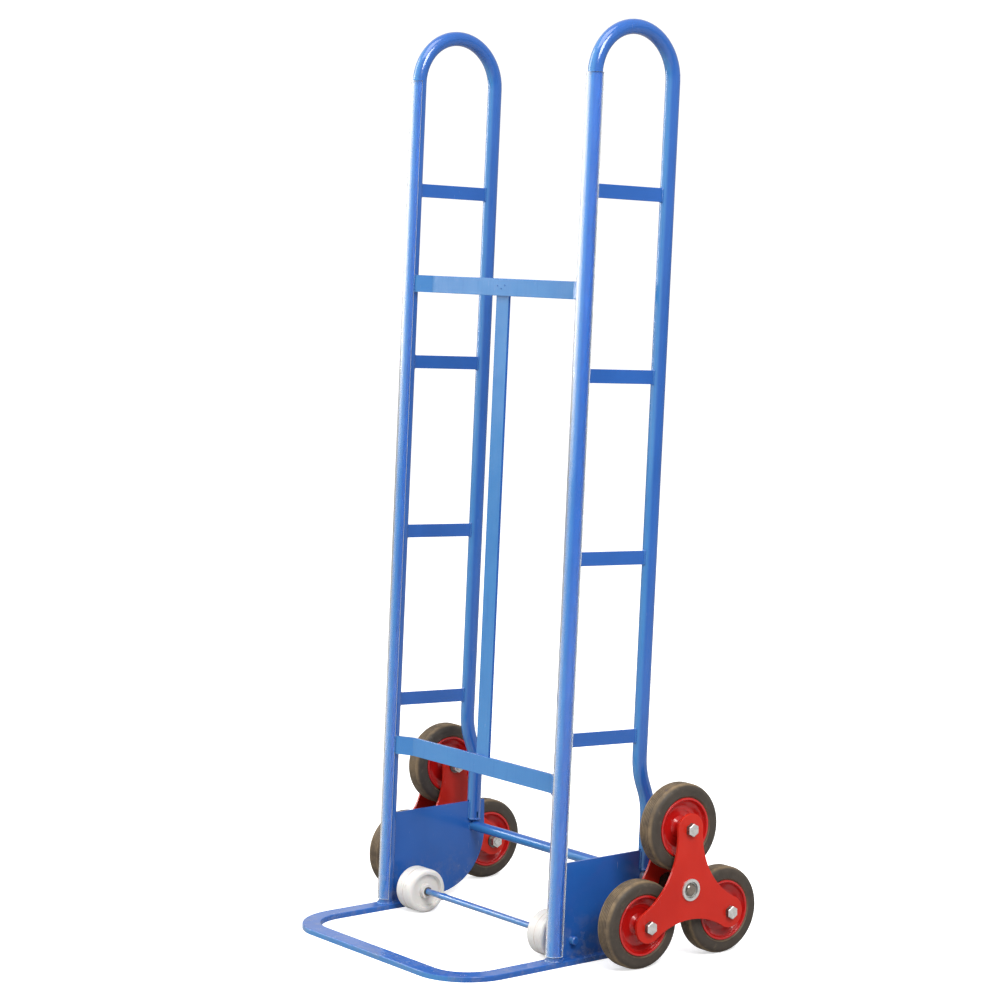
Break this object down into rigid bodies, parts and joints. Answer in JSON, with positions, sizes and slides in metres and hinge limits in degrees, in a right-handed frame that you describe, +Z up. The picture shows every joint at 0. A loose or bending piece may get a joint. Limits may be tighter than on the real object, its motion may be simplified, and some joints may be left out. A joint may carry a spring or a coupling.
{
  "type": "stair-climbing sack truck",
  "caption": "Tall blue tube-frame stair-climbing hand truck with hoop handles, flat toe loop, star-wheel clusters and white nose wheels.",
  "frame": {"origin": "on the floor, at the middle of the truck's length and width, standing on its toe loop and wheels", "axes": "+Z up; -Y towards the toe loop, which slides under the load; +X to the right of a person who faces the toe loop"},
  "size_m": [0.8036, 0.616, 1.6806],
  "materials": {
    "blue_paint": "gloss enamel, worn at edges",
    "red_paint": "gloss enamel",
    "rim_red": "gloss enamel on pressed steel",
    "black_rubber": "dull, dusty tread",
    "white_nylon": "satin",
    "clear_guard": "clear, lightly scuffed",
    "zinc_plate": "bright zinc plate",
    "dark_steel": "oiled steel",
    "axle_steel": "blue between the plates, bare at the ends"
  },
  "bodies": {
    "frame": {"toe_loop": "blue_paint", "left_upright": "blue_paint", "left_hoop_tube": "blue_paint", "left_upright_guard": "clear_guard", "left_side_plate": "blue_paint", "left_rung_1": "blue_paint", "left_rung_2": "blue_paint", "left_rung_3": "blue_paint", "left_rung_4": "blue_paint", "right_upright": "blue_paint", "right_hoop_tube": "blue_paint", "right_upright_guard": "clear_guard", "right_side_plate": "blue_paint", "right_rung_1": "blue_paint", "right_rung_2": "blue_paint", "right_rung_3": "blue_paint", "right_rung_4": "blue_paint", "lower_crossbar": "blue_paint", "upper_crossbar": "blue_paint", "centre_strip": "blue_paint", "nose_axle": "blue_paint", "main_axle": "axle_steel", "axle_spacers": "zinc_plate", "axle_washers": "zinc_plate", "axle_circlips": "dark_steel"},
    "left_cluster": {"left_outer_star_plate": "red_paint", "left_inner_star_plate": "red_paint", "left_cluster_hub": "zinc_plate", "left_hub_bushes": "dark_steel", "left_wheel_bolts": "zinc_plate", "left_wheel_nuts": "zinc_plate"},
    "left_top_wheel": {"left_top_tyre": "black_rubber", "left_top_rim": "rim_red", "left_top_wheel_bush": "dark_steel"},
    "left_front_wheel": {"left_front_tyre": "black_rubber", "left_front_rim": "rim_red", "left_front_wheel_bush": "dark_steel"},
    "left_rear_wheel": {"left_rear_tyre": "black_rubber", "left_rear_rim": "rim_red", "left_rear_wheel_bush": "dark_steel"},
    "left_nose_wheel_set": {"left_nose_wheel": "white_nylon", "left_nose_bush": "dark_steel"},
    "right_cluster": {"right_outer_star_plate": "red_paint", "right_inner_star_plate": "red_paint", "right_cluster_hub": "zinc_plate", "right_hub_bushes": "dark_steel", "right_wheel_bolts": "zinc_plate", "right_wheel_nuts": "zinc_plate"},
    "right_top_wheel": {"right_top_tyre": "black_rubber", "right_top_rim": "rim_red", "right_top_wheel_bush": "dark_steel"},
    "right_front_wheel": {"right_front_tyre": "black_rubber", "right_front_rim": "rim_red", "right_front_wheel_bush": "dark_steel"},
    "right_rear_wheel": {"right_rear_tyre": "black_rubber", "right_rear_rim": "rim_red", "right_rear_wheel_bush": "dark_steel"},
    "right_nose_wheel_set": {"right_nose_wheel": "white_nylon", "right_nose_bush": "dark_steel"}
  },
  "joints": [
    {"name": "left_cluster_turn", "type": "hinge", "parent": "frame", "child": "left_cluster", "pos_m": [-0.358, 0.13274, 0.135], "axis": [1, 0, 0], "continuous": true},
    {"name": "left_top_wheel_spin", "type": "hinge", "parent": "left_cluster", "child": "left_top_wheel", "pos_m": [-0.358, 0.13274, 0.245], "axis": [1, 0, 0], "continuous": true},
    {"name": "left_front_wheel_spin", "type": "hinge", "parent": "left_cluster", "child": "left_front_wheel", "pos_m": [-0.358, 0.03747, 0.08], "axis": [1, 0, 0], "continuous": true},
    {"name": "left_rear_wheel_spin", "type": "hinge", "parent": "left_cluster", "child": "left_rear_wheel", "pos_m": [-0.358, 0.228, 0.08], "axis": [1, 0, 0], "continuous": true},
    {"name": "left_nose_wheel_spin", "type": "hinge", "parent": "frame", "child": "left_nose_wheel_set", "pos_m": [-0.206, -0.036, 0.042], "axis": [1, 0, 0], "continuous": true},
    {"name": "right_cluster_turn", "type": "hinge", "parent": "frame", "child": "right_cluster", "pos_m": [0.358, 0.13274, 0.135], "axis": [1, 0, 0], "continuous": true},
    {"name": "right_top_wheel_spin", "type": "hinge", "parent": "right_cluster", "child": "right_top_wheel", "pos_m": [0.358, 0.13274, 0.245], "axis": [1, 0, 0], "continuous": true},
    {"name": "right_front_wheel_spin", "type": "hinge", "parent": "right_cluster", "child": "right_front_wheel", "pos_m": [0.358, 0.03747, 0.08], "axis": [1, 0, 0], "continuous": true},
    {"name": "right_rear_wheel_spin", "type": "hinge", "parent": "right_cluster", "child": "right_rear_wheel", "pos_m": [0.358, 0.228, 0.08], "axis": [1, 0, 0], "continuous": true},
    {"name": "right_nose_wheel_spin", "type": "hinge", "parent": "frame", "child": "right_nose_wheel_set", "pos_m": [0.206, -0.036, 0.042], "axis": [1, 0, 0], "continuous": true}
  ]
}
